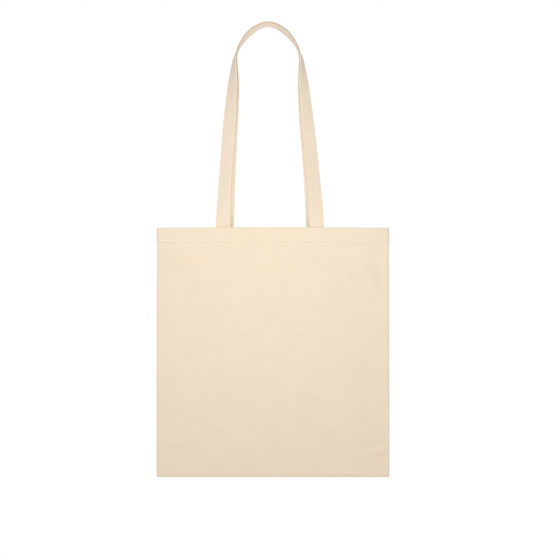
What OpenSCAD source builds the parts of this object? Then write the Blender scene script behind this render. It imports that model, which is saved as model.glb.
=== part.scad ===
// Flat canvas tote bag with two long handles, hanging by the handles.
// Front faces -Y, +Z is up. The origin is on the bottom edge, under the middle of the bag.

/* [Bag] */
// Width of the bag across its bottom
bag_w = 384; // [250:1:500]
// Height of the bag, bottom edge to mouth edge
bag_h = 411; // [260:1:500]
// Thickness of the canvas
cloth_t = 0.6; // [0.4:0.1:1]
// How far each panel bows out at the middle of the mouth
mouth_bow = 14; // [8:1:40]
// How far the mouth draws in at each side because the panels bow
mouth_draw = 1; // [0:0.1:3]
// Radius of the turned bottom corners
corner_r = 3; // [2:0.5:6]

/* [Hem] */
// Depth of the folded hem around the mouth
hem_depth = 24; // [15:1:40]
// Distance of the hem stitching above the hem's lower edge
hem_stitch_inset = 2.4; // [1.5:0.1:4]

/* [Handles] */
// Width of a handle
strap_w = 24; // [18:1:32]
// Thickness of a handle, its folded layers together
strap_t = 1.2; // [1:0.1:2.6]
// Distance between the two ends of the front handle, centre to centre
strap_spacing = 153; // [110:1:220]
// How much nearer the middle each end of the back handle is sewn
back_inset = 4.5; // [0:0.5:8]
// Sideways place of the middle between the handle ends
handle_offset = -5; // [-12:0.5:12]
// Height of the handles above the mouth edge
handle_rise = 335.5; // [200:0.5:400]
// Share of that height at which the legs turn into the arch
shoulder_share = 0.81; // [0.7:0.01:0.88]
// Distance between the two legs where they turn into the arch
shoulder_span = 111; // [80:1:160]
// Sideways place of the middle of the arch
arch_offset = -8; // [-15:0.5:15]
// Length of handle sewn down inside the hem
strap_end_depth = 22.5; // [14:0.5:38]
// Space left between the stitches of the two handles where they lie on each other
nest_clear = 0.3; // [0.3:0.1:2]

/* [Seams] */
// Width of the turned-in seam allowance on the left
left_allowance = 7; // [6:0.5:12]
// Width of the turned-in seam allowance on the right
right_allowance = 11; // [6:0.5:14]
// Width of the turned-in seam allowance along the bottom
bottom_allowance = 9; // [6:0.5:14]
// Width of the overlock stitching that binds each allowance
overlock_w = 5; // [3:0.5:5.5]
// Height that the overlock stitching stands off the cloth
overlock_t = 0.25; // [0.15:0.05:0.4]

/* [Stitching] */
// Side of the square of stitches that holds a handle end
box_side = 19.5; // [13:0.5:24]
// Width of a line of stitches
thread_w = 0.8; // [0.5:0.1:1.2]
// Height of a line of stitches
thread_t = 0.15; // [0.1:0.05:0.4]
// Distance of the handle's stitch lines from its edges
strap_stitch_inset = 2.4; // [1.5:0.1:4]

/* [Hidden] */

canvas_colour = [0.93, 0.87, 0.77];
strap_colour = [0.94, 0.88, 0.78];
thread_colour = [0.97, 0.93, 0.85];
overlock_colour = [0.96, 0.92, 0.84];

clear = 0.3;              // space left between soft pieces that lie on each other
thread_gap = 0.05;        // space under a line of stitches
hem_layers = 3;           // layers of canvas in the hem
bow_power = 0.7;          // how the bow grows from the bottom to the mouth
edge_r = 3;               // how far in from a seam the panels round off
hem_ramp = 30;            // height over which the panel steps out to the hem
hem_step = 0.3;           // height of the edge of the folded layers
allowance_setback = 1;    // from the bag's edge to a seam allowance
panel_cols = 22;          // grid of a panel between its rounded edges
panel_rows = 12;
leg_steps = 20;           // stations along one leg and half of the arch
arch_steps = 11;

// Half of the space between the two panels: it just holds a bound seam allowance
seam_room = cloth_t + overlock_t + clear;
// Space between the two handles where they lie on each other
strap_gap = 2 * (thread_gap + thread_t) + nest_clear;

function smooth(t) = let(c = min(1, max(0, t))) c * c * (3 - 2 * c);
function flip(list) = [for (i = [len(list) - 1 : -1 : 0]) list[i]];

// ---------- the surface of a panel, as a distance from the middle plane ----------

function corner_cut(z) = z >= corner_r ? 0 : corner_r - sqrt(corner_r ^ 2 - (corner_r - z) ^ 2);
function half_width(z) = bag_w / 2 - mouth_draw * (z / bag_h) ^ 2 - corner_cut(z);
function bow(x, z) = mouth_bow * (1 - (x / half_width(z)) ^ 2) * (z / bag_h) ^ bow_power;
function roundness(d) = sqrt(1 - (1 - min(1, max(0, d) / edge_r)) ^ 2);
function lining_y(x, z) =
    let(edge = min(half_width(z) - abs(x), z))
    clear / 2 + (seam_room - clear / 2) * roundness(edge) + max(0, bow(x, z));
function hem_push(z) = (hem_layers - 1) * cloth_t * smooth((z - bag_h + hem_depth + hem_ramp) / hem_ramp);
function face_y(x, z) = lining_y(x, z) + cloth_t + hem_push(z);
function layers(z) = z > bag_h - hem_depth - hem_step / 2 ? hem_layers : 1;
function back_of_cloth_y(x, z) = face_y(x, z) - layers(z) * cloth_t;

edge_steps = [0, 0.08, 0.3, 0.6];
column_shares = let(s = [for (e = edge_steps) -1 + e * edge_r * 2 / bag_w],
                    inner = 1 - edge_r * 2 / bag_w)
    concat(s, [for (i = [0 : panel_cols]) inner * (2 * i / panel_cols - 1)], [for (v = flip(s)) -v]);
row_heights = let(hem_z = bag_h - hem_depth, low = hem_z - hem_ramp)
    concat([for (e = edge_steps) e * edge_r],
           [for (i = [0 : panel_rows]) edge_r + (low - edge_r) * i / panel_rows],
           [for (i = [1 : 3]) low + (hem_ramp - hem_step) * i / 3],
           [hem_z, bag_h]);

// A closed sheet between two grids of points, rows by columns
module sheet(outer, inner) {
    rows = len(outer);
    cols = len(outer[0]);
    points = concat([for (row = outer) each row], [for (row = inner) each row]);
    function o(r, c) = r * cols + c;
    function n(r, c) = (rows + r) * cols + c;
    polyhedron(points, concat(
        [for (r = [0 : rows - 2], c = [0 : cols - 2]) each [
            [o(r, c), o(r + 1, c), o(r, c + 1)], [o(r, c + 1), o(r + 1, c), o(r + 1, c + 1)],
            [n(r, c), n(r, c + 1), n(r + 1, c)], [n(r, c + 1), n(r + 1, c + 1), n(r + 1, c)]]],
        [for (r = [0 : rows - 2]) each [
            [o(r, 0), n(r, 0), o(r + 1, 0)], [n(r, 0), n(r + 1, 0), o(r + 1, 0)],
            [o(r, cols - 1), o(r + 1, cols - 1), n(r, cols - 1)],
            [n(r, cols - 1), o(r + 1, cols - 1), n(r + 1, cols - 1)]]],
        [for (c = [0 : cols - 2]) each [
            [o(0, c), o(0, c + 1), n(0, c)], [n(0, c), o(0, c + 1), n(0, c + 1)],
            [o(rows - 1, c), n(rows - 1, c), o(rows - 1, c + 1)],
            [n(rows - 1, c), n(rows - 1, c + 1), o(rows - 1, c + 1)]]]), convexity = 6);
}

// The front panel; the back one is its mirror image
module panel() {
    sheet([for (z = row_heights) [for (s = column_shares) let(x = s * half_width(z)) [x, -face_y(x, z), z]]],
          [for (z = row_heights) [for (s = column_shares) let(x = s * half_width(z))
              [x, -back_of_cloth_y(x, z), z]]]);
}

// ---------- the handles ----------

function end_x(side, inset) = handle_offset + side * (strap_spacing / 2 - inset);

// Bezier curve through its first and last points
function bezier(p, t) = p[0] * (1 - t) ^ 3 + 3 * p[1] * t * (1 - t) ^ 2
    + 3 * p[2] * t ^ 2 * (1 - t) + p[3] * t ^ 3;

leg_bow_low = 3;          // how far a leg leans in over its first third
leg_bow_high = 6.5;       // and over its last third
arch_pull_side = 35;      // how far the arch follows the legs upward
arch_pull_top = 21.5;     // and how flat it is at the top
top_z = bag_h + handle_rise;
shoulder_z = bag_h + handle_rise * shoulder_share;

function leg_points(side) =
    let(x0 = end_x(side, 0), x1 = arch_offset + side * shoulder_span / 2, third = (shoulder_z - bag_h) / 3)
    [[x0, bag_h], [x0 - side * leg_bow_low, bag_h + third],
     [x1 + side * leg_bow_high, shoulder_z - third], [x1, shoulder_z]];
function arch_points(side) =
    let(leg = leg_points(side), run = leg[3] - leg[2])
    [leg[3], leg[3] + run * arch_pull_side / norm(run),
     [arch_offset + side * arch_pull_top, top_z], [arch_offset, top_z]];
function half_route(side) = concat(
    [for (i = [0 : leg_steps]) bezier(leg_points(side), i / leg_steps)],
    [for (i = [1 : arch_steps]) bezier(arch_points(side), i / arch_steps)]);
function travelled(p) = [for (i = 0, d = 0; i < len(p); d = d + (i < len(p) - 1 ? norm(p[i + 1] - p[i]) : 0),
                              i = i + 1) d];
function shares(p) = let(d = travelled(p)) [for (v = d) v / d[len(d) - 1]];

left_route = half_route(-1);
right_route = half_route(1);
route = concat(left_route, [for (i = [len(right_route) - 2 : -1 : 0]) right_route[i]]);
climb = let(r = shares(right_route)) concat(shares(left_route), [for (i = [len(r) - 2 : -1 : 0]) r[i]]);
last = len(route) - 1;

// Turn of the strap about its own length: flat on the hem, on edge where it lies over a hook
twist_steps = [[0, 0], [0.12, 19], [0.2, 26], [0.3, 28.5], [0.4, 26], [0.5, 32], [0.6, 41.5], [0.65, 48],
               [0.7, 60], [0.8, 84.5], [0.9, 97], [1, 92]];
join_share = 0.9;         // share of the climb at which the two handles have come together

function tangent(i) = i == 0 ? [0, 1] : i == last ? [0, -1]
    : let(d = route[i + 1] - route[i - 1]) d / norm(d);
function apart(i) = 1 - smooth(climb[i] / join_share);

function strap_y(side) = lining_y(end_x(side, 0), bag_h) - clear - strap_t / 2;
strap_turn = atan((face_y(strap_spacing / 2 - strap_w / 2, bag_h)
                   - face_y(strap_spacing / 2 + strap_w / 2, bag_h)) / strap_w);

// Station i of a handle: [centre, across, outward]; face is -1 for the front handle, 1 for the back one
function station(i, face) =
    let(t = tangent(i), inward = [t[1], 0, -t[0]], y = [0, 1, 0],
        turn = lookup(climb[i], twist_steps) - face * strap_turn * apart(i),
        across = inward * cos(turn) - y * sin(turn),
        behind = y * cos(turn) + inward * sin(turn),
        nested = (strap_t + strap_gap) / 2,
        side = i <= len(left_route) - 1 ? -1 : 1,
        inset = face > 0 ? back_inset * apart(i) : 0,
        centre = [route[i][0] - side * inset, face * (strap_y(side) - nested) * apart(i),
                  route[i][1] + (i == 0 || i == last ? clear : 0)])
    [centre + behind * face * nested, across, behind];

// Closed ribbon along the handle: its section is [across, outward] points, counter-clockwise
module ribbon(face, section) {
    count = len(section);
    points = [for (i = [0 : last]) let(s = station(i, face)) each
        [for (q = section) s[0] + s[1] * q[0] + s[2] * q[1]]];
    far = last * count;
    polyhedron(points, concat(
        [for (k = [0 : count / 2 - 2]) let(m = count - 1 - k) each
            [[k, k + 1, m - 1, m], [far + m, far + m - 1, far + k + 1, far + k]]],
        [for (i = [0 : last - 1], k = [0 : count - 1]) let(a = i * count + k, b = i * count + (k + 1) % count)
            each [[a, a + count, b], [b, a + count, b + count]]]), convexity = 10);
}

stitch_mid = strap_w / 2 - strap_stitch_inset;
strap_marks = [-strap_w / 2, -stitch_mid - thread_w / 2, -stitch_mid + thread_w / 2,
               stitch_mid - thread_w / 2, stitch_mid + thread_w / 2, strap_w / 2];
strap_section = concat([for (m = strap_marks) [m, -strap_t / 2]],
                       [for (m = flip(strap_marks)) [m, strap_t / 2]]);

module strap_stitch_lines(face) {
    low = strap_t / 2 + thread_gap;
    for (side = [-1, 1], out = [-1, 1]) {
        a = side * stitch_mid;
        b = out > 0 ? [low, low + thread_t] : [-low - thread_t, -low];
        ribbon(face, [[a - thread_w / 2, b[0]], [a + thread_w / 2, b[0]],
                      [a + thread_w / 2, b[1]], [a - thread_w / 2, b[1]]]);
    }
}

// ---------- pieces that lie on the hem ----------

box_z = bag_h - strap_end_depth / 2;

// Puts its children off the front face (off > 0) or off the lining side (off < 0) of the front hem,
// leaning as the hem does there
module on_hem(x, z, off) {
    y = (off > 0 ? face_y(x, z) : lining_y(x, z)) + off;
    slope_x = (face_y(x + 1, z) - face_y(x - 1, z)) / 2;
    slope_z = (face_y(x, z + 1) - face_y(x, z - 1)) / 2;
    translate([x, -y, z])
        rotate([atan(slope_z), 0, atan(-slope_x)])
            rotate([90, 0, 0]) children();
}

module strap_end(x) {
    on_hem(x, box_z, -clear - strap_t)
        linear_extrude(strap_t)
            square([strap_w, strap_end_depth], center = true);
}

module box_stitch(x) {
    on_hem(x, box_z, thread_gap)
        linear_extrude(thread_t) {
            difference() {
                square(box_side, center = true);
                square(box_side - 2 * thread_w, center = true);
            }
            for (turn = [45, 135])
                rotate(turn) square([(box_side - thread_w) * sqrt(2), thread_w], center = true);
        }
}

module hem_line() {
    z = bag_h - hem_depth + hem_stitch_inset;
    ends = half_width(z) - edge_r;
    steps = 24;
    path = [for (i = [0 : steps]) let(x = ends * (2 * i / steps - 1)) [x, -face_y(x, z) - thread_gap]];
    translate([0, 0, z - thread_w / 2])
        linear_extrude(thread_w)
            polygon(concat(path, [for (p = flip(path)) p - [0, thread_t]]));
}

// ---------- seam allowances inside the bag ----------

side_x = bag_w / 2 - mouth_draw - allowance_setback;
side_bottom = allowance_setback + bottom_allowance + overlock_t + clear;

// Two layers of canvas from the side seam inward
module side_allowance(side, width) {
    translate([side > 0 ? side_x - width : -side_x, -cloth_t, side_bottom])
        cube([width, 2 * cloth_t, bag_h - side_bottom - clear]);
}

// Binding around the free edge of an allowance: an open channel, section in X and Y
module binding_section() {
    difference() {
        translate([-overlock_t, -cloth_t - overlock_t])
            square([overlock_w + overlock_t, 2 * (cloth_t + overlock_t)]);
        translate([0, -cloth_t]) square([overlock_w + 1, 2 * cloth_t]);
    }
}

module side_overlock(side, width) {
    translate([side * (side_x - width), 0, side_bottom])
        linear_extrude(bag_h - side_bottom - clear)
            mirror([side > 0 ? 0 : 1, 0]) binding_section();
}

// The bottom allowance and its binding stop short of the corners
bottom_run = 2 * (bag_w / 2 - corner_r - allowance_setback);

module front_panel() { color(canvas_colour) panel(); }
module back_panel() { color(canvas_colour) mirror([0, 1, 0]) panel(); }
module front_handle() { color(strap_colour) ribbon(-1, strap_section); }
module back_handle() { color(strap_colour) ribbon(1, strap_section); }
module front_handle_end_left() { color(strap_colour) strap_end(end_x(-1, 0)); }
module front_handle_end_right() { color(strap_colour) strap_end(end_x(1, 0)); }
module back_handle_end_left() { color(strap_colour) mirror([0, 1, 0]) strap_end(end_x(-1, back_inset)); }
module back_handle_end_right() { color(strap_colour) mirror([0, 1, 0]) strap_end(end_x(1, back_inset)); }
module front_box_stitch_left() { color(thread_colour) box_stitch(end_x(-1, 0)); }
module front_box_stitch_right() { color(thread_colour) box_stitch(end_x(1, 0)); }
module back_box_stitch_left() { color(thread_colour) mirror([0, 1, 0]) box_stitch(end_x(-1, back_inset)); }
module back_box_stitch_right() { color(thread_colour) mirror([0, 1, 0]) box_stitch(end_x(1, back_inset)); }
module front_hem_stitching() { color(thread_colour) hem_line(); }
module back_hem_stitching() { color(thread_colour) mirror([0, 1, 0]) hem_line(); }
module front_handle_stitching() { color(thread_colour) strap_stitch_lines(-1); }
module back_handle_stitching() { color(thread_colour) strap_stitch_lines(1); }
module left_seam_allowance() { color(canvas_colour) side_allowance(-1, left_allowance); }
module right_seam_allowance() { color(canvas_colour) side_allowance(1, right_allowance); }
module left_seam_overlock() { color(overlock_colour) side_overlock(-1, left_allowance); }
module right_seam_overlock() { color(overlock_colour) side_overlock(1, right_allowance); }

module bottom_seam_allowance() {
    color(canvas_colour)
        translate([-bottom_run / 2, -cloth_t, allowance_setback])
            cube([bottom_run, 2 * cloth_t, bottom_allowance]);
}

module bottom_seam_overlock() {
    color(overlock_colour)
        translate([-bottom_run / 2, 0, allowance_setback + bottom_allowance])
            rotate([0, 90, 0])
                linear_extrude(bottom_run) binding_section();
}

front_panel();
back_panel();
front_handle();
back_handle();
front_handle_end_left();
front_handle_end_right();
back_handle_end_left();
back_handle_end_right();
front_box_stitch_left();
front_box_stitch_right();
back_box_stitch_left();
back_box_stitch_right();
front_hem_stitching();
back_hem_stitching();
front_handle_stitching();
back_handle_stitching();
left_seam_allowance();
right_seam_allowance();
bottom_seam_allowance();
left_seam_overlock();
right_seam_overlock();
bottom_seam_overlock();
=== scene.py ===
"""Looks of a canvas tote bag that hangs by its two handles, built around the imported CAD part.

All sizes are in metres, in the frame of the CAD part: the front faces -Y, +Z is up, and the origin
is under the middle of the bag's bottom edge. The shapes follow the same rules as the CAD source:
two bowed panels with a folded hem, and two folded straps that twist on their way up to the arch.
"""

from math import atan, cos, pi, radians, sin

import bpy
import numpy as np
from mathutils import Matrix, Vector, noise


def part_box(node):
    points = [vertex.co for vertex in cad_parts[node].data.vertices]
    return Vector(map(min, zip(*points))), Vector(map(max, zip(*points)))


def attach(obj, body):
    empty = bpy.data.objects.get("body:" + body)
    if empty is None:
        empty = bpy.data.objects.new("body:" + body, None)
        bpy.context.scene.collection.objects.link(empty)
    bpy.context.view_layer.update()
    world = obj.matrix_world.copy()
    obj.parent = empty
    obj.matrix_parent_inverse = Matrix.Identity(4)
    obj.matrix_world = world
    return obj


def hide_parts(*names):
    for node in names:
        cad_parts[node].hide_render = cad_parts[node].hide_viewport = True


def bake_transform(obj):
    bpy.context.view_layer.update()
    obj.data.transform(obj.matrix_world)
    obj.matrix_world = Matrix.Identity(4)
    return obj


MM = 0.001

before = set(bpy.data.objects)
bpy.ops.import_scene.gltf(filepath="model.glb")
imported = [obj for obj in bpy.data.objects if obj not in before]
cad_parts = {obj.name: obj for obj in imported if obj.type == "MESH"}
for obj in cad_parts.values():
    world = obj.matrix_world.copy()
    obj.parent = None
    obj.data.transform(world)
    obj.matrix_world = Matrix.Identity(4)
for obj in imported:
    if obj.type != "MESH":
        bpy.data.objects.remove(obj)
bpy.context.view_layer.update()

# ---------------------------------------------------------------- sizes, from the frame and the CAD rules

panel_low, panel_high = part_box("front_panel")
BAG_W = panel_high.x - panel_low.x
BAG_H = panel_high.z
CLOTH_T = 0.6 * MM           # one layer of the panels' cloth
MOUTH_BOW = 14 * MM          # how far a panel bows out at the middle of the mouth
MOUTH_DRAW = 1.0 * MM        # how far the mouth draws in at each side
BOW_POWER = 0.7              # how the bow grows with height: below 1, more of it comes low down
CORNER_R = 3 * MM            # the rounding of the two bottom corners
EDGE_R = 1.0 * MM            # how far in from a seam the panels round off
CLEAR = 0.3 * MM             # space between soft pieces that lie on each other
SEAM_ROOM = 1.15 * MM        # half of the space between the panels at a seam
RIM = 0.6 * MM               # how far in from a seam the cloth closes on the other panel

HEM_LAYERS = 3               # layers of cloth in the hem
HEM_DEPTH = 24 * MM
HEM_RAMP = 30 * MM           # below the hem, how far a panel's outer face takes to step out to it
stitch_low, stitch_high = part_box("front_hem_stitching")
HEM_LINE_Z = (stitch_low.z + stitch_high.z) / 2
LEFT_MARGIN = 8 * MM         # how wide the cloth is lifted beside each seam by what is turned in
RIGHT_MARGIN = 12 * MM
BOTTOM_MARGIN = 10 * MM

STRAP_T = 1.2 * MM           # the CAD's flat strap
STRAP_W = 24 * MM
STITCH_INSET = 2.4 * MM      # from a strap's edge to its line of stitches
PAINTED_EDGE_BAND = 1.4 * MM         # width of the band along a strap's folded edge with painted shade on the arch, and with painted light on the front strap's legs
SOFT_STRAP_T = 1.55 * MM     # the cloth strap, fuller than the CAD's
STRAP_GAP = 0.5 * MM         # between the two straps where they lie on each other
BACK_INSET = 4.5 * MM        # how much nearer the middle the back strap is sewn
BACK_SLIDE = 1.8 * MM        # how far it has slid over the front strap, high on its left leg
SLIDE_SHARE = 0.66           # share of the climb where it has slid the most
SLIDE_SPREAD = 0.13          # and the share over which that fades
HANDLE_X = -5 * MM           # middle between the strap ends
ARCH_X = -8 * MM             # middle of the arch
STRAP_SPACING = 153 * MM     # between the middles of the front strap's two ends
HANDLE_RISE = 335.5 * MM     # from the mouth edge up to the top of the arch
SHOULDER_SHARE = 0.81        # share of the rise at which a leg turns into the arch
SHOULDER_SPAN = 111 * MM     # between the two legs there
LEG_BOW = (3 * MM, 6.5 * MM)        # how far a leg's curve is drawn in at its foot and out at its shoulder
ARCH_PULL = (35 * MM, 21.5 * MM)    # how far the arch's curve keeps its direction, at a shoulder and the top
JOIN_SHARE = 0.9             # share of the climb at which the two straps come to lie on each other
ARCH_SHADE_REACH = (0.14, 0.26)    # along a strap from its middle, where the painted shade of the arch fades out
ARCH_REACH = (0.068, 0.105)  # the same for the painted shade on its edge over the arch; beyond it the edge band has painted light
TWIST_SHARES = (0, 0.12, 0.2, 0.3, 0.4, 0.5, 0.6, 0.65, 0.7, 0.8, 0.9, 1)
TWIST_DEGREES = (0, 19, 26, 28.5, 26, 32, 41.5, 48, 60, 84.5, 97, 92)    # a strap's turn at those shares
end_low, end_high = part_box("front_handle_end_left")
END_DEPTH = end_high.z - end_low.z
BOX_SIDE = 19.5 * MM         # the square of stitches in a strap's end

FRONT, BACK = -1, 1


def smooth(t):
    t = np.clip(t, 0, 1)
    return t * t * (3 - 2 * t)


def bump(t):
    """A soft hill, 1 at t = 0 and nearly 0 at 2."""
    return np.exp(-t * t)


def travelled(line):
    """Distance along a line of points, at each point."""
    return np.concatenate([[0], np.cumsum(np.linalg.norm(np.diff(line, axis=0), axis=1))])


def sampled(at, way, values):
    """Rows of values read off at new places along the way."""
    return np.stack([np.interp(at, way, values[:, k]) for k in range(values.shape[1])], axis=-1)


def wander(points, size, seed):
    """Smooth noise from -1 to 1 at each point, with hills about size apart."""
    shift = Vector((17.3 * seed, -9.1 * seed, 5.7 * seed))
    return np.array([noise.noise(Vector(p) / size + shift) for p in points])


# ---------------------------------------------------------------- the bag's surface


def corner_cut(z):
    below = np.clip(CORNER_R - z, 0, CORNER_R)
    return CORNER_R - np.sqrt(CORNER_R**2 - below**2)


def half_width(z):
    return BAG_W / 2 - MOUTH_DRAW * (z / BAG_H) ** 2 - corner_cut(z)


def bow(x, z):
    return np.maximum(0, MOUTH_BOW * (1 - (x / half_width(z)) ** 2) * (np.maximum(z, 0) / BAG_H) ** BOW_POWER)


def lining_y(x, z):
    edge = np.clip(np.minimum(half_width(z) - abs(x), z) / EDGE_R, 0, 1)
    return CLEAR / 2 + (SEAM_ROOM - CLEAR / 2) * np.sqrt(1 - (1 - edge) ** 2) + bow(x, z)


def face_y(x, z):
    """Distance of a panel's outer face from the middle plane, before wrinkles."""
    push = (HEM_LAYERS - 1) * CLOTH_T * smooth((z - BAG_H + HEM_DEPTH + HEM_RAMP) / HEM_RAMP)
    return lining_y(x, z) + CLOTH_T + push


def strap_end_x(face, side):
    return HANDLE_X + side * (STRAP_SPACING / 2 - (BACK_INSET if face == BACK else 0))


# Soft folds of the front panel: middle x, middle z, direction in degrees, length, width, height in mm
FRONT_FOLDS = (
    (-156, 366, -14, 60, 7, -1.1),
    (-142, 352, -24, 66, 8, 1.1),
    (-165, 300, 82, 60, 10, 0.6),
    (-118, 318, 70, 80, 12, 0.4),
    (152, 338, -62, 80, 8, 1.1),
    (172, 352, -80, 90, 7, -1.0),
    (140, 366, -35, 60, 9, 0.5),
    (-160, 118, -24, 75, 10, 0.8),
    (-168, 60, -14, 60, 8, 0.9),
    (-140, 88, -30, 70, 12, -0.5),
    (160, 72, 14, 76, 10, 0.5),
    (168, 60, 3, 50, 6, 1.2),
    (180, 43, 10, 36, 6, 2.0),
    (174, 24, 4, 60, 11, 1.3),
    (150, 20, 8, 90, 9, -0.8),
    (120, 96, 38, 110, 15, 0.9),
    (135, 55, 80, 130, 38, 1.4),
    (60, 150, 40, 180, 26, 0.5),
    (20, 235, 52, 160, 26, 0.45),
    (-60, 210, -38, 150, 24, 0.4),
    (75, 318, 8, 60, 7, -0.35),
)
# The back panel's own folds, seen from the front as the others are
BACK_FOLDS = (
    (150, 345, 30, 80, 10, 0.9),
    (-152, 338, -60, 90, 10, 0.8),
    (-60, 300, -35, 130, 18, 0.5),
    (95, 250, 55, 150, 22, 0.5),
    (162, 110, 22, 80, 10, 0.8),
    (-165, 55, -20, 70, 8, 1.0),
    (-120, 80, -30, 110, 14, -0.6),
    (10, 120, 40, 170, 24, 0.5),
    (170, 40, 28, 55, 8, 0.9),
)


def folds_height(x, z, folds):
    total = np.zeros_like(x)
    for fx, fz, turn, length, width, height in folds:
        dx, dz = x - fx * MM, z - fz * MM
        along = dx * cos(radians(turn)) + dz * sin(radians(turn))
        across = -dx * sin(radians(turn)) + dz * cos(radians(turn))
        bend = along**2 / (length * MM) * 0.25
        across = (across - bend) / (width * MM)
        # a ridge with a shallower trough beside it
        profile = bump(across) - 0.45 * bump((across + 1.7) / 1.3)
        total += height * MM * profile * bump(along / (length * MM / 2))
    return total


def relief(x, z, face):
    """Small shapes of a panel's outer face: folds, seam ridges, the sewn hem and the strap behind it."""
    # the folds die out at the seams and under the hem
    inside = np.minimum(half_width(z) - abs(x), z)
    calm = smooth((inside - 1.5 * MM) / (7 * MM)) * smooth((BAG_H - 12 * MM - z) / (22 * MM))
    points = np.stack([x, np.full_like(x, 0.1 * face), z], axis=-1).reshape(-1, 3)
    broad = wander(points, 95 * MM, 1 + face) + 0.45 * wander(points, 38 * MM, 3 + face)
    fine = wander(points, 13 * MM, 5 + face)
    folds = FRONT_FOLDS if face == FRONT else BACK_FOLDS
    height = calm * (1.5 * folds_height(x, z, folds) + 0.7 * MM * broad.reshape(x.shape)
                     + 0.07 * MM * fine.reshape(x.shape))

    # turned-in allowances lift the cloth beside each seam
    for margin, distance in ((LEFT_MARGIN, half_width(z) + x), (RIGHT_MARGIN, half_width(z) - x),
                             (BOTTOM_MARGIN, z)):
        step = smooth((margin + 1.2 * MM - distance) / (2.4 * MM))
        groove = bump((distance - margin - 1.6 * MM) / (1.6 * MM))
        height += 0.42 * MM * step * smooth(distance / (1.2 * MM)) - 0.22 * MM * groove

    # the hem: pinched along its stitches, and a dip where its inner layers end
    hem_z = BAG_H - HEM_DEPTH
    pucker = 1 + 0.35 * wander(points, 6 * MM, 9 + face).reshape(x.shape)
    height -= 0.06 * MM * pucker * bump((z - HEM_LINE_Z) / (0.8 * MM))
    below = HEM_LINE_Z - 1.7 * MM - z
    height -= 0.9 * MM * pucker * smooth(below / (2.2 * MM)) * smooth((22 * MM - below) / (22 * MM))
    height -= 0.6 * MM * pucker * bump((below - 1.6 * MM) / (1.2 * MM))
    ripple = wander(points * (1, 1, 0.35), 9 * MM, 12 + face).reshape(x.shape)
    height += 0.12 * MM * ripple * bump((z - HEM_LINE_Z) / (6 * MM))
    across_hem = wander(points * (1, 1, 0.3), 26 * MM, 15 + face).reshape(x.shape)
    height += 0.16 * MM * across_hem * smooth((z - hem_z) / (5 * MM))

    # the strap's sewn end pushes the hem out, and its box of stitches pulls it in
    for side in (-1, 1):
        dx = abs(x - strap_end_x(face, side))
        dz = abs(z - BAG_H + END_DEPTH / 2)
        rim = np.maximum(dx - STRAP_W / 2, dz - END_DEPTH / 2)
        height += 0.5 * MM * smooth((0.7 * MM - rim) / (1.4 * MM))
        square = abs(np.maximum(dx, dz) - BOX_SIDE / 2)
        cross = np.where(np.maximum(dx, dz) < BOX_SIDE / 2, abs(dx - dz) * 0.7, 1)
        height -= 0.26 * MM * bump(np.minimum(square, cross) / (0.8 * MM))
    return height


def outer_face(x, z, face):
    """A panel's outer face with its relief, closing on the other panel at the seams."""
    edge = np.clip(np.minimum(half_width(z) - abs(x), z) / RIM, 0, 1)
    closing = np.sqrt(np.maximum(0, 1 - (1 - edge) ** 2))
    return (face_y(x, z) + relief(x, z, face)) * closing + 0.02 * MM


# ---------------------------------------------------------------- mesh helpers


def mesh_object(name, points, faces, material, uv=None):
    mesh = bpy.data.meshes.new(name)
    points = np.asarray(points, float).reshape(-1, 3)
    mesh.from_pydata(points.tolist(), [], [tuple(map(int, f)) for f in faces])
    if uv is not None:
        layer = mesh.uv_layers.new(name="cloth")
        corner = np.zeros(len(mesh.loops), np.int32)
        mesh.loops.foreach_get("vertex_index", corner)
        layer.data.foreach_set("uv", np.asarray(uv, np.float32).reshape(-1, 2)[corner].ravel())
    mesh.polygons.foreach_set("use_smooth", [True] * len(mesh.polygons))
    mesh.materials.append(material)
    mesh.update()
    piece = bpy.data.objects.new(name, mesh)
    bpy.context.scene.collection.objects.link(piece)
    return piece


def grid_faces(rows, cols, around=False, flip=False):
    """Quads of a grid of points, row by row. around joins the last column to the first."""
    r, c = np.meshgrid(np.arange(rows - 1), np.arange(cols if around else cols - 1), indexing="ij")
    d = (c + 1) % cols
    quads = np.stack([r * cols + c, r * cols + d, (r + 1) * cols + d, (r + 1) * cols + c], axis=-1)
    quads = quads.reshape(-1, 4)
    return quads[:, ::-1] if flip else quads


def swept(name, points, line, section, material, flip=False):
    """A closed body with a section's outline at each point of a line, and its ends capped."""
    uv = np.stack(np.broadcast_arrays(travelled(section)[None, :], travelled(line)[:, None]), axis=-1)
    rows, cols = len(line), len(section)
    faces = grid_faces(rows, cols, around=True, flip=flip).tolist()
    caps = [list(range(cols))[::-1], [(rows - 1) * cols + k for k in range(cols)]]
    faces += [cap[::-1] for cap in caps] if flip else caps
    return mesh_object(name, points, faces, material, uv)


def tubes(centres, radius, normals, sides=6):
    """Round tubes along several lines at once: centres is lines x points x 3, radius lines x points."""
    lines, count, _ = centres.shape
    along = np.gradient(centres, axis=1)
    along /= np.linalg.norm(along, axis=2, keepdims=True) + 1e-12
    u = np.cross(along, normals)
    u /= np.linalg.norm(u, axis=2, keepdims=True) + 1e-12
    w = np.cross(u, along)
    turn = np.arange(sides) * 2 * pi / sides
    ring = u[:, :, None] * np.cos(turn)[:, None] + w[:, :, None] * np.sin(turn)[:, None]
    points = (centres[:, :, None] + ring * radius[:, :, None, None]).reshape(-1, 3)
    one = grid_faces(count, sides, around=True)
    ends = [list(range(sides))[::-1], [(count - 1) * sides + k for k in range(sides)]]
    faces = []
    for i in range(lines):
        base = i * count * sides
        faces += (one + base).tolist() + [[v + base for v in e] for e in ends]
    return points, faces


def resample(line, step, *others):
    """Points about step apart along a line, with the other arrays carried along."""
    way = travelled(line)
    at = np.linspace(0, way[-1], max(2, int(round(way[-1] / step)) + 1))
    taken = [sampled(at, way, a) for a in (line, *others)]
    return taken if others else taken[0]


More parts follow.
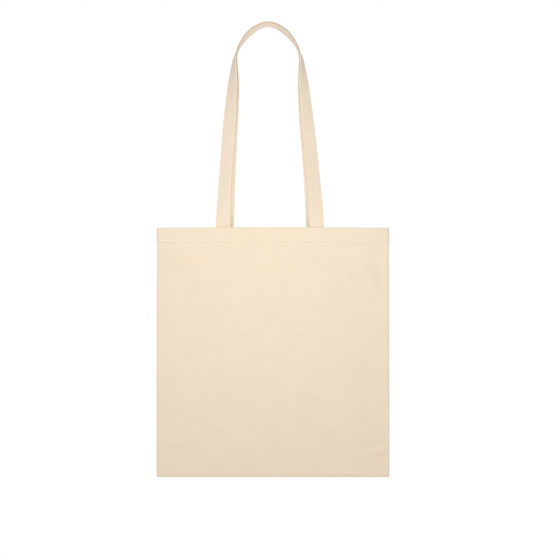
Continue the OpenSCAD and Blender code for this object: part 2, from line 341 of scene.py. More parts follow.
def stitches(line, normals, pitch=3.1 * MM, share=0.84, radius=0.3 * MM, lift=0.08 * MM):
    """A row of stitches: short threads that come up out of the cloth and go back in."""
    line, normals = resample(np.asarray(line), pitch / 6, np.asarray(normals))
    count = max(1, (len(line) - 1) // 6)
    t = np.linspace(0, share, 5)
    starts = np.arange(count) / count * (len(line) - 1)
    at = starts[:, None] + t[None, :] * (len(line) - 1) / count
    index = np.arange(len(line))
    centres, up = sampled(at, index, line), sampled(at, index, normals)
    up /= np.linalg.norm(up, axis=2, keepdims=True)
    # a stitch goes under at both ends, and is highest and widest in its middle
    rise = np.array([-0.9, 0.6, 1.0, 0.6, -0.9])
    centres = centres + up * (lift * rise[None, :, None])
    width = radius * np.array([0.7, 1.0, 1.08, 1.0, 0.7])
    return centres, np.repeat(width[None, :], count, axis=0), up


def thread_object(name, runs, material, sides=6):
    """One mesh from several rows of stitches or other short threads."""
    points, faces, base = [], [], 0
    for centres, radius, normals in runs:
        p, f = tubes(centres, radius, normals, sides)
        points.append(p)
        faces += [[v + base for v in face] for face in f]
        base += len(p)
    points = np.vstack(points)
    return mesh_object(name, points, faces, material, points[:, [0, 2]])


# ---------------------------------------------------------------- materials


class Nodes:
    """Short names for building a node tree."""

    def __init__(self, tree):
        self.tree = tree

    def add(self, kind, **settings):
        node = self.tree.nodes.new(kind)
        for key, value in settings.items():
            setattr(node, key, value)
        return node

    def link(self, source, target):
        self.tree.links.new(source, target)

    def math(self, operation, a, b=None):
        node = self.add("ShaderNodeMath", operation=operation)
        for socket, value in zip(node.inputs, (a, b)):
            if value is None:
                continue
            if isinstance(value, (int, float)):
                socket.default_value = value
            else:
                self.link(value, socket)
        return node.outputs[0]

    def noise(self, vector, scale, stretch=(1, 1, 1), detail=2.0, roughness=0.5):
        scaled = self.add("ShaderNodeVectorMath", operation="MULTIPLY")
        scaled.inputs[1].default_value = [scale * s for s in stretch]
        self.link(vector, scaled.inputs[0])
        node = self.add("ShaderNodeTexNoise")
        node.inputs["Scale"].default_value = 1
        node.inputs["Detail"].default_value = detail
        node.inputs["Roughness"].default_value = roughness
        self.link(scaled.outputs[0], node.inputs["Vector"])
        return node.outputs["Fac"]

    def mix(self, fac, a, b, blend="MIX"):
        node = self.add("ShaderNodeMix", data_type="RGBA", blend_type=blend)
        for socket, value in ((node.inputs[0], fac), (node.inputs[6], a), (node.inputs[7], b)):
            if isinstance(value, (int, float)):
                socket.default_value = value
            elif isinstance(value, tuple):
                socket.default_value = (*value, 1)
            else:
                self.link(value, socket)
        return node.outputs[2]

    def between(self, value, low, high, to_low=0.0, to_high=1.0):
        node = self.add("ShaderNodeMapRange", clamp=True)
        for socket, number in zip(node.inputs[1:5], (low, high, to_low, to_high)):
            socket.default_value = number
        self.link(value, node.inputs[0])
        return node.outputs[0]


class MaterialNodes(Nodes):
    """The node tree of a new material, around its principled shader."""

    def __init__(self, name):
        self.material = bpy.data.materials.new(name)
        self.material.use_nodes = True
        super().__init__(self.material.node_tree)
        self.shader = self.tree.nodes["Principled BSDF"]


def canvas_material(name, light, dark, fleck_share=0.12, edge=None, arch_shade=None, relief_depth=0.06 * MM):
    """Unbleached cotton canvas: a plain weave with uneven threads, soft blotches and a few seed flecks.
    For a strap, edge is the place, width and tint of a band along its folded edge. Away from the arch that
    band is painted lighter, as painted light against the shade at the edge and between the two straps.
    arch_shade is the place of its middle and the tints of painted shade on the cloth and on that edge over
    the arch, where the strap faces down."""
    m = MaterialNodes(name)
    pitch = 0.55 * MM
    uv = m.add("ShaderNodeUVMap", uv_map="cloth").outputs[0]
    split = m.add("ShaderNodeSeparateXYZ")
    m.link(uv, split.inputs[0])
    # the weave: warp and weft cross over and under each other, and drift a little
    drift = m.noise(uv, 1 / (9 * MM))
    drift = m.math("MULTIPLY", m.math("SUBTRACT", drift, 0.5), 1.6)
    across = m.math("ADD", m.math("DIVIDE", split.outputs[0], pitch), drift)
    along = m.math("ADD", m.math("DIVIDE", split.outputs[1], pitch * 1.08), drift)
    a = m.math("COSINE", m.math("MULTIPLY", across, pi))
    b = m.math("COSINE", m.math("MULTIPLY", along, pi))
    over = m.math("MULTIPLY", a, b)
    warp = m.math("MULTIPLY", m.math("MULTIPLY", a, a), m.math("ADD", over, 1.0))
    weft = m.math("MULTIPLY", m.math("MULTIPLY", b, b), m.math("SUBTRACT", 1.0, over))
    weave = m.math("MULTIPLY", m.math("MAXIMUM", warp, weft), 0.5)

    # thick and thin threads, both ways
    slub_weft = m.noise(uv, 1 / MM, (0.1, 1.3, 1), detail=3, roughness=0.65)
    slub_warp = m.noise(uv, 1 / MM, (1.3, 0.08, 1), detail=3, roughness=0.65)
    slubs = m.math("MULTIPLY", m.math("ADD", slub_weft, slub_warp), 0.5)
    fuzz = m.noise(uv, 1 / (0.35 * MM), detail=2)

    tone = m.math("ADD", m.math("MULTIPLY", m.between(slubs, 0.33, 0.67), 0.62),
                  m.math("MULTIPLY", m.between(weave, 0.0, 0.9), 0.38))
    colour = m.mix(tone, dark, light)
    # soft blotches, and a fine grain over them
    patch = m.between(m.noise(uv, 1 / (42 * MM), detail=3, roughness=0.6), 0.35, 0.65)
    colour = m.mix(m.math("MULTIPLY", patch, 0.5), colour, (0.975, 0.955, 0.955), "MULTIPLY")
    patch = m.between(m.noise(uv, 1 / (17 * MM), (1, 1.4, 1), detail=2), 0.3, 0.7)
    colour = m.mix(m.math("MULTIPLY", patch, 0.4), colour, (0.965, 0.975, 0.96), "MULTIPLY")
    grain = m.between(m.noise(uv, 1 / (1.9 * MM), detail=1), 0.3, 0.7)
    colour = m.mix(grain, colour, (0.936, 0.930, 0.902), "MULTIPLY")
    # painted shade over the arch, on the cloth and on the folded edge, and painted light on that edge along
    # the legs
    if arch_shade is not None:
        edge_at, edge_width, leg_edge_light = edge
        middle, arch_cloth_shade, arch_edge_shade = arch_shade
        away = m.math("ABSOLUTE", m.math("SUBTRACT", split.outputs[0], edge_at))
        far = m.math("ABSOLUTE", m.math("SUBTRACT", split.outputs[1], middle))
        colour = m.mix(m.between(far, *ARCH_SHADE_REACH, 1.0, 0.0), colour, arch_cloth_shade, "MULTIPLY")
        # legs: a band of painted light along the folded edge; arch: a band of painted shade along it
        legs, arch = (edge_width, 0.0, 1.0, leg_edge_light), (PAINTED_EDGE_BAND, 1.0, 0.0, arch_edge_shade)
        for width, near, distant, tint in (legs, arch):
            rim = m.math("MULTIPLY", m.between(away, width - 0.3 * MM, width + 0.3 * MM, 1.0, 0.0),
                         m.between(far, *ARCH_REACH, near, distant))
            colour = m.mix(rim, colour, tint, "MULTIPLY")

    # a few specks of seed in the cotton, longer along the threads
    cells = m.add("ShaderNodeTexVoronoi", feature="F1")
    cells.inputs["Scale"].default_value = 1
    spaced = m.add("ShaderNodeVectorMath", operation="MULTIPLY")
    spaced.inputs[1].default_value = (1 / (9 * MM), 1 / (7 * MM), 1)
    m.link(uv, spaced.inputs[0])
    m.link(spaced.outputs[0], cells.inputs["Vector"])
    chosen = m.add("ShaderNodeSeparateXYZ")
    m.link(cells.outputs["Color"], chosen.inputs[0])
    size = m.between(chosen.outputs[0], 1 - fleck_share, 1, 0.0, 0.075)
    fleck = m.math("SUBTRACT", size, cells.outputs["Distance"])
    fleck = m.between(fleck, 0.0, 0.02, 0.0, 0.55)
    colour = m.mix(fleck, colour, (0.34, 0.22, 0.13))
    m.link(colour, m.shader.inputs["Base Color"])

    height = m.math("ADD", m.math("MULTIPLY", weave, 0.6),
                    m.math("ADD", m.math("MULTIPLY", slubs, 0.7), m.math("MULTIPLY", fuzz, 0.25)))
    rough = m.add("ShaderNodeBump")
    rough.inputs["Strength"].default_value = 0.5
    rough.inputs["Distance"].default_value = relief_depth
    m.link(height, rough.inputs["Height"])
    m.link(rough.outputs[0], m.shader.inputs["Normal"])
    m.shader.inputs["Roughness"].default_value = 0.92
    m.shader.inputs["Specular IOR Level"].default_value = 0.12
    m.shader.inputs["Sheen Weight"].default_value = 0.06
    m.shader.inputs["Sheen Roughness"].default_value = 0.6
    return m.material


def thread_material(name, light, dark):
    """Spun cotton thread: fine twist along each stitch, slightly lighter than the cloth."""
    m = MaterialNodes(name)
    position = m.add("ShaderNodeTexCoord").outputs["Object"]
    twist = m.noise(position, 1 / (0.3 * MM), (1, 0.5, 1.4), detail=2)
    shade = m.noise(position, 1 / (4 * MM), detail=1)
    tone = m.math("MULTIPLY", m.math("ADD", twist, shade), 0.5)
    m.link(m.mix(m.between(tone, 0.3, 0.7), dark, light), m.shader.inputs["Base Color"])
    rough = m.add("ShaderNodeBump")
    rough.inputs["Strength"].default_value = 0.5
    rough.inputs["Distance"].default_value = 0.08 * MM
    m.link(twist, rough.inputs["Height"])
    m.link(rough.outputs[0], m.shader.inputs["Normal"])
    m.shader.inputs["Roughness"].default_value = 0.75
    m.shader.inputs["Specular IOR Level"].default_value = 0.2
    m.shader.inputs["Sheen Weight"].default_value = 0.08
    return m.material


canvas = canvas_material("cotton_canvas", (0.915, 0.814, 0.665), (0.840, 0.729, 0.581))
# The back strap's canvas is painted lighter than the front's, and its edge band lighter still: painted light
# against the shade it lies in behind the front strap.
STRAP_CANVAS = {
    FRONT: canvas_material("front_strap_canvas", (0.915, 0.814, 0.670), (0.840, 0.729, 0.586),
                           fleck_share=0.06, edge=(STRAP_W, PAINTED_EDGE_BAND, (1.08, 1.07, 1.04)),
                           arch_shade=(0.388, (1, 1, 1), (0.84, 0.80, 0.80)), relief_depth=0.03 * MM),
    BACK: canvas_material("back_strap_canvas", (0.960, 0.862, 0.730), (0.885, 0.775, 0.640),
                          fleck_share=0.06, edge=(STRAP_W, 2.6 * MM, (1.025, 1.06, 1.13)),
                          arch_shade=(0.385, (0.978, 0.968, 0.945), (0.87, 0.83, 0.82)), relief_depth=0.03 * MM),
}
sewing_thread = thread_material("sewing_thread", (0.985, 0.930, 0.835), (0.945, 0.870, 0.755))
strap_thread = thread_material("strap_thread", (0.920, 0.826, 0.688), (0.865, 0.762, 0.620))
overlock_thread = thread_material("overlock_thread", (0.940, 0.860, 0.710), (0.850, 0.740, 0.570))


# ---------------------------------------------------------------- camera, lights and stage


def place_camera():
    """A level camera in front of the bag. It shows frame_width across at the bag's front."""
    middle, distance, frame_width = (9.9 * MM, -15 * MM, 326.5 * MM), 1.7, 0.912
    data = bpy.data.cameras.new("camera")
    data.sensor_width = 36
    data.lens = data.sensor_width * distance / frame_width
    camera = bpy.data.objects.new("camera", data)
    camera.location = (middle[0], middle[1] - distance, middle[2])
    camera.rotation_euler = (radians(90), 0, 0)
    bpy.context.scene.collection.objects.link(camera)
    bpy.context.scene.camera = camera


def area_light(name, place, aim, size, power, colour):
    data = bpy.data.lights.new(name, "AREA")
    data.shape = "DISK"
    data.size, data.energy, data.color = size, power, colour
    light = bpy.data.objects.new(name, data)
    light.location = place
    light.rotation_euler = (Vector(aim) - Vector(place)).to_track_quat("-Z", "Y").to_euler()
    bpy.context.scene.collection.objects.link(light)


def seen_directly(n):
    """1 for rays that show the background: from the camera, in a gloss or through glass."""
    path = n.add("ShaderNodeLightPath").outputs
    seen = n.math("MAXIMUM", path["Is Camera Ray"], path["Is Glossy Ray"])
    return n.math("MAXIMUM", seen, path["Is Transmission Ray"])


def light_world():
    """White where it is seen. As a light it is a pale dome, brighter and cooler below, like a white sweep."""
    below, above, strength = (0.785, 0.800, 1.0), (0.530, 0.450, 0.400), 1.075
    world = bpy.data.worlds.new("studio")
    bpy.context.scene.world = world
    world.use_nodes = True
    n = Nodes(world.node_tree)
    n.tree.nodes.clear()
    up = n.add("ShaderNodeSeparateXYZ")
    n.link(n.add("ShaderNodeTexCoord").outputs["Generated"], up.inputs[0])
    light = n.add("ShaderNodeBackground")
    light.inputs["Strength"].default_value = strength
    n.link(n.mix(n.between(up.outputs[2], -0.6, 0.6), below, above), light.inputs["Color"])
    white = n.add("ShaderNodeBackground")
    white.inputs["Color"].default_value = (1, 1, 1, 1)
    white.inputs["Strength"].default_value = 1
    either = n.add("ShaderNodeMixShader")
    for source, socket in zip((seen_directly(n), light.outputs[0], white.outputs[0]), either.inputs):
        n.link(source, socket)
    n.link(either.outputs[0], n.add("ShaderNodeOutputWorld").inputs[0])


def make_floor():
    """A pale floor well below the hanging bag. It keeps the bag's shadow and fades to white outwards."""
    radius, drop, sides = 1.35, 0.75, 96
    turn = np.arange(sides) * 2 * pi / sides
    rings = [np.stack([radius * s * np.cos(turn), radius * s * np.sin(turn), np.full(sides, -drop)], axis=1)
             for s in (1.0, 0.66, 0.33)]
    points = np.vstack(rings + [np.array([[0, 0, -drop]])])
    faces = grid_faces(3, sides, around=True).tolist()
    faces += [[2 * sides + k, 2 * sides + (k + 1) % sides, 3 * sides] for k in range(sides)]
    m = MaterialNodes("pale_floor")
    m.shader.inputs["Base Color"].default_value = (0.92, 0.92, 0.92, 1)
    m.shader.inputs["Roughness"].default_value = 1
    m.shader.inputs["Specular IOR Level"].default_value = 0
    place = m.add("ShaderNodeTexCoord").outputs["Object"]
    flat = m.add("ShaderNodeVectorMath", operation="MULTIPLY")
    flat.inputs[1].default_value = (1, 1, 0)
    m.link(place, flat.inputs[0])
    length = m.add("ShaderNodeVectorMath", operation="LENGTH")
    m.link(flat.outputs[0], length.inputs[0])
    white = m.between(length.outputs["Value"], 0.3, 0.9 * radius, 0.72, 1.0)
    glow = m.add("ShaderNodeEmission")
    glow.inputs["Strength"].default_value = 1
    either = m.add("ShaderNodeMixShader")
    share = m.math("MULTIPLY", seen_directly(m), white)
    for source, socket in zip((share, m.shader.outputs[0], glow.outputs[0]), either.inputs):
        m.link(source, socket)
    m.link(either.outputs[0], m.tree.nodes["Material Output"].inputs["Surface"])
    mesh_object("floor", points, faces, m.material)


# ---------------------------------------------------------------- the bag's cloth


def spaced(low, high, step):
    return np.linspace(low, high, max(2, int(round((high - low) / step)) + 1))


def panel_columns(face):
    """Shares of the half width, closer together at the side seams and over the strap ends."""
    reach = BAG_W / 2
    rim = RIM * (1 - np.cos(np.linspace(0, pi / 2, 6)))
    around_end = 15 * MM
    ends = [strap_end_x(face, side) + d for side in (-1, 1) for d in (-around_end, around_end)]
    marks = [-reach + RIM, *ends, reach - RIM]
    steps = [3 * MM, 1 * MM, 3 * MM, 1 * MM, 3 * MM]
    middle = np.concatenate([spaced(a, b, s)[:-1] for a, b, s in zip(marks[:-1], marks[1:], steps)])
    extra = [sign * (reach - margin) + d for sign in (-1, 1) for margin in (LEFT_MARGIN, RIGHT_MARGIN)
             for d in (-1.5 * MM, 0, 1.5 * MM)]
    x = np.concatenate([-reach + rim, middle[1:], extra, [reach - RIM], reach - rim[::-1][1:]])
    x = np.unique(np.round(x, 6))
    keep = np.concatenate([[True], np.diff(x) > 0.08 * MM])
    x = x[keep]
    x[-1] = reach
    return x / reach


def panel_rows():
    """(z, depth below the outer face) along the cloth: up the outside, over the fold, down the
    inside of the hem and back up under it."""
    hem_z = BAG_H - HEM_DEPTH
    rim = RIM * (1 - np.cos(np.linspace(0, pi / 2, 6)))
    body = spaced(RIM, hem_z - 10 * MM, 3 * MM)[1:]
    near = spaced(hem_z - 10 * MM, BAG_H - 1 * MM, 1 * MM)[1:]
    rows = [(z, 0.0) for z in np.concatenate([rim, body, near])]
    fold = HEM_LAYERS * CLOTH_T / 2
    rows += [(BAG_H - fold + fold * sin(t), fold - fold * cos(t)) for t in np.linspace(0, pi, 9)[1:]]
    inner = HEM_LAYERS * CLOTH_T
    rows += [(z, inner) for z in spaced(BAG_H - 2 * MM, hem_z + 0.6 * MM, 2 * MM)]
    # the hem's lowest fold turns back up to the layer just behind the outer one
    behind_outer = 0.62 * MM
    small = (inner - behind_outer) / 2
    rows += [(hem_z + small - small * sin(t), inner - small + small * cos(t))
             for t in np.linspace(0, pi, 5)[1:]]
    rows += [(hem_z + 5 * MM, inner - 2 * small)]
    return np.array(rows)


def make_panel(face, name, node):
    """One panel as a single sheet, with the hem really folded in at its top."""
    shares, rows = panel_columns(face), panel_rows()
    z = np.repeat(rows[:, :1], len(shares), axis=1)
    depth = np.repeat(rows[:, 1:], len(shares), axis=1)
    x = shares[None, :] * half_width(z)
    y = outer_face(x, z, face)
    narrow = np.clip((half_width(z) - abs(x)) / RIM, 0, 1)
    y = y - depth * np.sqrt(np.maximum(0, 1 - (1 - narrow) ** 2))
    points = np.stack([x, face * y, z], axis=-1)
    uv = np.stack([x, np.repeat(travelled(rows)[:, None], len(shares), axis=1)], axis=-1)
    faces = grid_faces(len(rows), len(shares), flip=face == BACK)
    panel = mesh_object(name, points, faces, canvas, uv)
    # a little thinner than CLOTH_T, so that the hem's layers stay clear of each other
    thick = panel.modifiers.new("cloth", "SOLIDIFY")
    thick.thickness = 0.56 * MM
    thick.offset = -1
    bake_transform(panel)
    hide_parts(node)
    return panel


def on_face(x, z, face, inner=False):
    """Points on a panel's outer face, or on the inside of its hem, and the outward normals there."""
    x, z = np.asarray(x, float), np.asarray(z, float)
    step = 0.5 * MM
    y = outer_face(x, z, face)
    dx = (outer_face(x + step, z, face) - outer_face(x - step, z, face)) / (2 * step)
    dz = (outer_face(x, z + step, face) - outer_face(x, z - step, face)) / (2 * step)
    normal = np.stack([-dx, np.full_like(y, face), -dz], axis=-1)
    normal /= np.linalg.norm(normal, axis=-1, keepdims=True)
    if inner:
        y, normal = y - HEM_LAYERS * CLOTH_T, -normal
    return np.stack([x, face * y, z], axis=-1), normal


def make_hem_stitching(face, name, node):
    """The line of stitches that holds the hem, on its outside and its inside."""
    reach = half_width(HEM_LINE_Z) - 1.5 * MM
    x = spaced(-reach, reach, 1 * MM)
    drift = 0.25 * MM * wander(np.stack([x, x * 0, x * 0 + face], axis=1), 30 * MM, 21)
    z = np.full_like(x, HEM_LINE_Z) + drift
    outside = stitches(*on_face(x, z, face), radius=0.38 * MM, lift=0.2 * MM)
    inside = stitches(*on_face(x, z, face, inner=True))
    piece = thread_object(name, [outside, inside], sewing_thread)
    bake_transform(piece)
    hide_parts(node)
    return piece


def box_lines(face, side):
    """The square and its cross that hold a strap end, as lines of x and z."""
    middle = np.array((strap_end_x(face, side), BAG_H - END_DEPTH / 2))
    corners = np.array([(-1, -1), (1, -1), (1, 1), (-1, 1)]) * BOX_SIDE / 2
    pairs = ((0, 1), (1, 2), (2, 3), (3, 0), (0, 2), (3, 1))
    return [resample(corners[list(pair)] + middle, 1 * MM) for pair in pairs]


def make_box_stitching(face, side, name, node, body):
    runs = []
    for line in box_lines(face, side):
        outside = on_face(line[:, 0], line[:, 1], face)
        runs.append(stitches(*outside, pitch=2.5 * MM, radius=0.25 * MM))
        inside, normal = on_face(line[:, 0], line[:, 1], face, inner=True)
        runs.append(stitches(inside + normal * (CLEAR + STRAP_T), normal, pitch=2.5 * MM))
    piece = thread_object(name, runs, sewing_thread)
    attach(piece, body)
    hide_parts(node)
    return piece


# ---------------------------------------------------------------- the straps


def bezier(p, t):
    t = t[:, None]
    return p[0] * (1 - t) ** 3 + 3 * p[1] * t * (1 - t) ** 2 + 3 * p[2] * t**2 * (1 - t) + p[3] * t**3


def half_route(side, leg_steps, arch_steps):
    """Points up one leg and half of the arch, in X and Z."""
    top_z, shoulder_z = BAG_H + HANDLE_RISE, BAG_H + HANDLE_RISE * SHOULDER_SHARE
    x0, x1 = HANDLE_X + side * STRAP_SPACING / 2, ARCH_X + side * SHOULDER_SPAN / 2
    third = (shoulder_z - BAG_H) / 3
    leg = np.array([[x0, BAG_H], [x0 - side * LEG_BOW[0], BAG_H + third],
                    [x1 + side * LEG_BOW[1], shoulder_z - third], [x1, shoulder_z]])
    run = leg[3] - leg[2]
    arch = np.array([leg[3], leg[3] + run * ARCH_PULL[0] / np.linalg.norm(run),
                     [ARCH_X + side * ARCH_PULL[1], top_z], [ARCH_X, top_z]])
    return np.vstack([bezier(leg, np.linspace(0, 1, leg_steps + 1)),
                      bezier(arch, np.linspace(0, 1, arch_steps + 1))[1:]])


def climb_of(line):
    return travelled(line) / travelled(line)[-1]


def lining_strap_y(x, z):
    """Distance of a strap's middle from the middle plane, where it lies on a panel's inside."""
    return lining_y(x, z) - CLEAR - STRAP_T / 2


def strap_frames(face):
    """Centre, direction across and direction backwards of a strap, from one sewn end to the other."""
    left, right = half_route(-1, 80, 44), half_route(1, 80, 44)
    route = np.vstack([left, right[-2::-1]])
    climb = np.concatenate([climb_of(left), climb_of(right)[-2::-1]])
    side = np.where(np.arange(len(route)) < len(left), -1, 1)
    t = np.gradient(route, axis=0)
    t /= np.linalg.norm(t, axis=1, keepdims=True)
    t[0], t[-1] = (0, 1), (0, -1)
    inward = np.stack([t[:, 1], 0 * climb, -t[:, 0]], axis=1)
    depth = np.array([0, 1, 0])
    apart = 1 - smooth(climb / JOIN_SHARE)
    # at its foot a strap leans as the bowed panel does
    lean = atan(float(face_y(np.array(STRAP_SPACING / 2 - STRAP_W / 2), BAG_H)
                      - face_y(np.array(STRAP_SPACING / 2 + STRAP_W / 2), BAG_H)) / STRAP_W)
    turn = np.radians(np.interp(climb, TWIST_SHARES, TWIST_DEGREES)) - face * lean * apart
    across = inward * np.cos(turn)[:, None] - depth * np.sin(turn)[:, None]
    behind = depth * np.cos(turn)[:, None] + inward * np.sin(turn)[:, None]
    # where the two straps lie on each other, each is half of their spacing from the shared line
    nested = (STRAP_T + STRAP_GAP) / 2
    strap_y = lining_strap_y(HANDLE_X + side * STRAP_SPACING / 2, np.full(len(side), BAG_H))
    inset = BACK_INSET * apart if face == BACK else 0
    centre = np.stack([route[:, 0] - side * inset, face * (strap_y - nested) * apart, route[:, 1]], axis=1)
    centre = centre + behind * face * nested
    if face == BACK:
        # the back strap has slid a little inward over the front one, high on its left leg
        slid = BACK_SLIDE * bump((climb - SLIDE_SHARE) / SLIDE_SPREAD) * (side == -1)
        centre = centre + across * slid[:, None]
    ends = []
    for end, hand in ((0, -1), (-1, 1)):
        # the sewn end runs straight down behind the hem, and meets the leg at the mouth edge
        z = BAG_H - np.linspace(END_DEPTH, 0, 12)
        x = np.full_like(z, strap_end_x(face, hand))
        line = np.stack([x, face * lining_strap_y(x, z), z], axis=1)
        line = (line + (centre[end] - line[-1]))[:-1]
        ends.append([line] + [np.repeat(a[end][None], len(line), axis=0) for a in (across, behind)])
    last = [a[::-1] for a in ends[1]]
    joined = [np.vstack(parts) for parts in zip(ends[0], (centre, across, behind), last)]
    return resample(joined[0], 2.6 * MM, *joined[1:])


def strap_section():
    """Outline of a folded strap, as (across, backwards): soft edges, an open fold along one edge."""
    half, thick = STRAP_W / 2, SOFT_STRAP_T / 2
    flat = np.concatenate([np.linspace(-half + 1.0 * MM, -half + 4.2 * MM, 7),
                           np.linspace(-half + 5.5 * MM, half - 5.5 * MM, 9),
                           np.linspace(half - 4.2 * MM, half - 1.0 * MM, 7)])
    dip = 0.12 * MM * bump((abs(flat) - half + STITCH_INSET) / (0.75 * MM))
    lower = np.stack([flat, -thick + dip], axis=1)
    round_edge = [(half - 0.28 * MM, -thick + 0.04 * MM), (half - 0.06 * MM, -thick * 0.68),
                  (half - 0.03 * MM, -0.1 * MM), (half - 0.1 * MM, 0.0), (half - 0.03 * MM, 0.1 * MM),
                  (half - 0.06 * MM, thick * 0.68), (half - 0.28 * MM, thick - 0.04 * MM)]
    upper = np.stack([flat[::-1], thick - dip[::-1]], axis=1)
    turned_edge = [(-half + 0.45 * MM, thick - 0.10 * MM), (-half + 0.1 * MM, thick * 0.5), (-half, 0.0),
                   (-half + 0.1 * MM, -thick * 0.5), (-half + 0.45 * MM, -thick + 0.10 * MM)]
    return np.vstack([lower, round_edge, upper, turned_edge])


def strap_ripple(centre):
    """Slow waves of the whole strap, and the puckers of its two edges, along its length.
    Both straps take the same waves, so they stay clear of each other where they touch."""
    points = centre * (1, 0, 1)
    return (0.16 * MM * wander(points, 42 * MM, 31), 0.05 * MM * wander(points, 5.5 * MM, 33),
            0.05 * MM * wander(points, 5.5 * MM, 35))


def fullness(centre):
    """Share of SOFT_STRAP_T along a strap: flat where it is sewn, full from a third of the rise up."""
    return 1 - (1 - STRAP_T / SOFT_STRAP_T) * (1 - smooth((centre[:, 2] - BAG_H) / (0.35 * HANDLE_RISE)))


def make_strap(face, name, nodes):
    centre, across, behind = strap_frames(face)
    section = strap_section()
    sway, pucker_a, pucker_b = strap_ripple(centre)
    near_a = bump((STRAP_W / 2 - section[:, 0]) / (2.2 * MM))
    near_b = bump((STRAP_W / 2 + section[:, 0]) / (2.2 * MM))
    off = section[None, :, 1] * fullness(centre)[:, None] + sway[:, None]
    off = off + pucker_a[:, None] * near_a + pucker_b[:, None] * near_b
    points = centre[:, None] + across[:, None] * section[None, :, :1] + behind[:, None] * off[:, :, None]
    strap = swept(name, points, centre, section, STRAP_CANVAS[face])
    bend_strap(strap)
    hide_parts(*nodes)
    return strap, float(travelled(centre)[-1])


def bend_strap(piece):
    """Bakes a strap's placement into its mesh; its bend at the mouth edge is already in the shape from
    strap_frames.
    """
    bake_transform(piece)


def make_strap_stitching(face, name, node):
    """Two lines of stitches along both faces of a strap."""
    centre, across, behind = strap_frames(face)
    sway, pucker_a, pucker_b = strap_ripple(centre)
    keep = centre[:, 2] > BAG_H - 1.5 * MM
    # the stitches lie deeper in the cloth on the arch: from 80 percent of the rise up to 90
    sunk = (0.18 + 0.09 * smooth((centre[:, 2] - BAG_H) / (0.1 * HANDLE_RISE) - 8)) * MM
    runs = []
    for edge, pucker in ((1, pucker_a), (-1, pucker_b)):
        line = centre + across * edge * (STRAP_W / 2 - STITCH_INSET) + behind * (sway + 0.3 * pucker)[:, None]
        for out in (-1, 1):
            normals = behind * out
            surface = line + normals * (SOFT_STRAP_T / 2 * fullness(centre) - sunk)[:, None]
            runs.append(stitches(surface[keep], normals[keep], pitch=3.0 * MM, radius=0.2 * MM,
                                 lift=0.03 * MM))
    piece = thread_object(name, runs, strap_thread)
    bend_strap(piece)
    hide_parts(node)
    return piece


# ---------------------------------------------------------------- seams inside the bag


def seam_path(kind):
    """Outer line of a seam allowance, the direction of its width, and the width."""
    low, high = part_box(kind + "_seam_allowance")
    if kind == "bottom":
        x = spaced(low.x, high.x, 3 * MM)
        line = np.stack([x, 0 * x, np.full_like(x, low.z)], axis=1)
        return line, np.array([0, 0, 1.0]), high.z - low.z
    z = spaced(low.z, high.z, 3 * MM)
    x = np.full_like(z, low.x if kind == "left" else high.x)
    inward = np.array([1.0 if kind == "left" else -1.0, 0, 0])
    return np.stack([x, 0 * z, z], axis=1), inward, high.x - low.x


def seam_wave(line):
    """How far a seam allowance sways to and fro along its length."""
    return 0.25 * MM * wander(line, 22 * MM, 41)


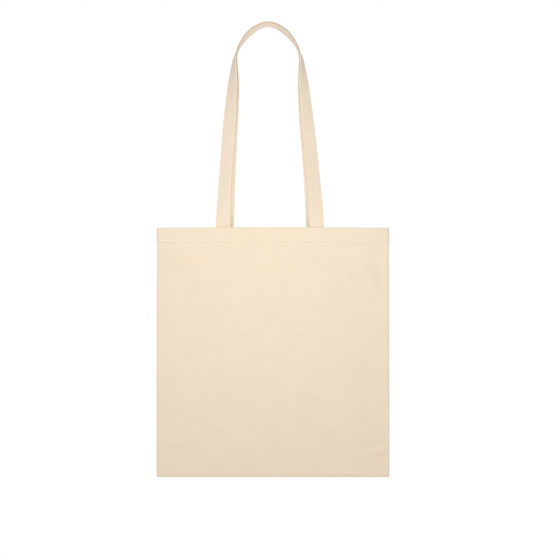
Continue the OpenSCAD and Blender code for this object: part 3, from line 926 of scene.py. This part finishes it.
def make_seam(kind):
    """Two layers of cloth turned in at a seam, bound along their free edge by overlock loops."""
    line, inward, width = seam_path(kind)
    side = np.array([0, 1.0, 0])
    t = CLOTH_T
    half = np.array([(0, -t), (width * 0.4, -t), (width * 0.75, -t), (width - 0.15 * MM, -t),
                     (width, -t * 0.6), (width - 0.05 * MM, -0.1 * t)])
    section = np.vstack([half, (width - 1.2 * MM, 0), (half * (1, -1))[::-1]])
    swing = seam_wave(line)[:, None] * (section[:, 0] / width)[None, :] ** 2
    points = line[:, None] + inward * section[None, :, :1] + side * (section[None, :, 1] + swing)[:, :, None]
    cloth = swept(kind + "_allowance_cloth", points, line, section, canvas, flip=kind != "right")

    # overlock loops go around the free edge, and two rows of needle stitches run along it
    pitch, reach = 2.3 * MM, 4.2 * MM
    dense = resample(line, pitch)
    along = dense[1] - dense[0]
    starts, swing = dense[:-1], seam_wave(dense)[:-1]
    # a loop's points: distance past the free edge, height in layers of cloth, share of the pitch
    route = [(-reach, 1.15, 0.0), (-reach * 0.5, 1.25, 0.25), (-0.1 * MM, 1.2, 0.5), (0.28 * MM, 0.0, 0.5),
             (-0.1 * MM, -1.2, 0.5), (-reach * 0.5, -1.25, 0.25), (-reach, -1.15, 0.0)]
    centres = np.stack([starts + inward * (width + w) + side * (h * t) + along * k
                        + side * swing[:, None] * ((width + w) / width) ** 2 for w, h, k in route], axis=1)
    up = np.broadcast_to(np.cross(along / np.linalg.norm(along), inward), centres.shape).copy()
    up[:, 3] = inward
    radius = np.full(centres.shape[:2], 0.17 * MM)
    returning = centres.copy()
    for index, (_, _, k) in enumerate(route):
        returning[:, index] += along * (1 - 2 * k)
    runs = [(centres, radius, up), (returning, radius, up)]
    for out in (-1, 1):
        needle = line + inward * (width - reach) + side * (out * (t + 0.1 * MM))
        needle = needle + side * seam_wave(line)[:, None] * (1 - reach / width) ** 2
        normals = np.broadcast_to(side * out, needle.shape)
        runs.append(stitches(needle, normals, pitch=pitch, share=0.9, radius=0.2 * MM))
    binding = thread_object(kind + "_overlock_thread", runs, overlock_thread, sides=5)
    allowance, overlock = kind + "_seam_allowance", kind + "_seam_overlock"
    for piece, node, slot in ((cloth, allowance, "canvas"), (binding, overlock, "thread")):
        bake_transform(piece)
        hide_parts(node)
    return [cloth, binding]


# ---------------------------------------------------------------- build everything

bpy.context.scene.view_settings.view_transform = "Standard"
place_camera()
light_world()
upper_bag = (0, 0, 0.35)
area_light("key", (-0.03, -0.95, 0.52), upper_bag, size=0.06, power=4.07, colour=(0.935, 1.0, 0.813))
area_light("fill_behind", (0.15, 1.0, 0.5), upper_bag, size=0.4, power=3.2, colour=(0.973, 0.98, 0.714))
make_floor()

SIDES = ((FRONT, "front"), (BACK, "back"))
for face, word in SIDES:
    panel = make_panel(face, word + "_cloth", word + "_panel")
    hem = make_hem_stitching(face, word + "_hem_thread", word + "_hem_stitching")
    boxes = [make_box_stitching(face, side, f"{word}_box_thread_{hand}", f"{word}_box_stitch_{hand}",
                                "bag_" + word) for side, hand in ((-1, "left"), (1, "right"))]

seams = [piece for kind in ("left", "right", "bottom") for piece in make_seam(kind)]

for face, word in SIDES:
    nodes = [word + part for part in ("_handle", "_handle_end_left", "_handle_end_right")]
    strap, length = make_strap(face, word + "_strap_cloth", nodes)
    thread = make_strap_stitching(face, word + "_strap_thread", word + "_handle_stitching")
